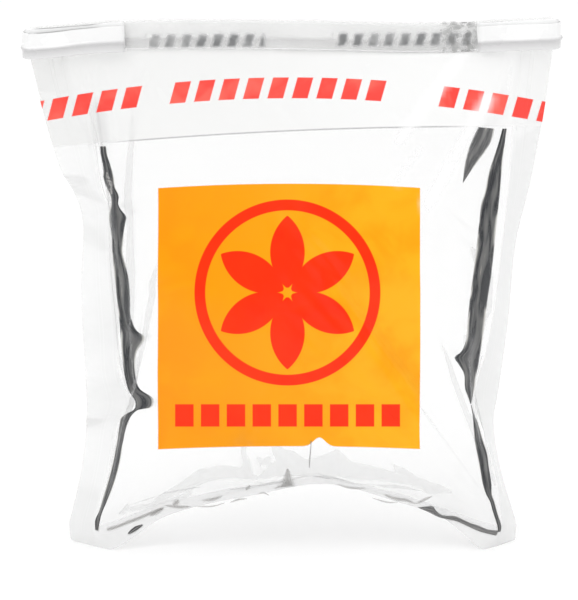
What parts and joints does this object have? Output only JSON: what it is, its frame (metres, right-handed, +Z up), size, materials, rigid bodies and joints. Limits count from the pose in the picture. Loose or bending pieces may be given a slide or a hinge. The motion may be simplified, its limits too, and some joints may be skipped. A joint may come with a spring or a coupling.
{
  "type": "specimen bag",
  "caption": "Clear film specimen bag, blown up and closed: a pillow pouch with welded margins, its mouth rolled over wire tapes whose ends are folded to the front as tabs.",
  "frame": {"origin": "on the floor, under the middle of the bag's bounding box", "axes": "+Z up; -Y towards the viewer of the printed front; +X to that viewer's right, along the roll"},
  "size_m": [0.1576, 0.0406, 0.1592],
  "materials": {
    "film": "clear glossy film",
    "tape": "white satin"
  },
  "bodies": {
    "root": {"bag_film": "film", "wire_tape_front": "tape", "wire_tape_back": "tape"}
  },
  "joints": []
}
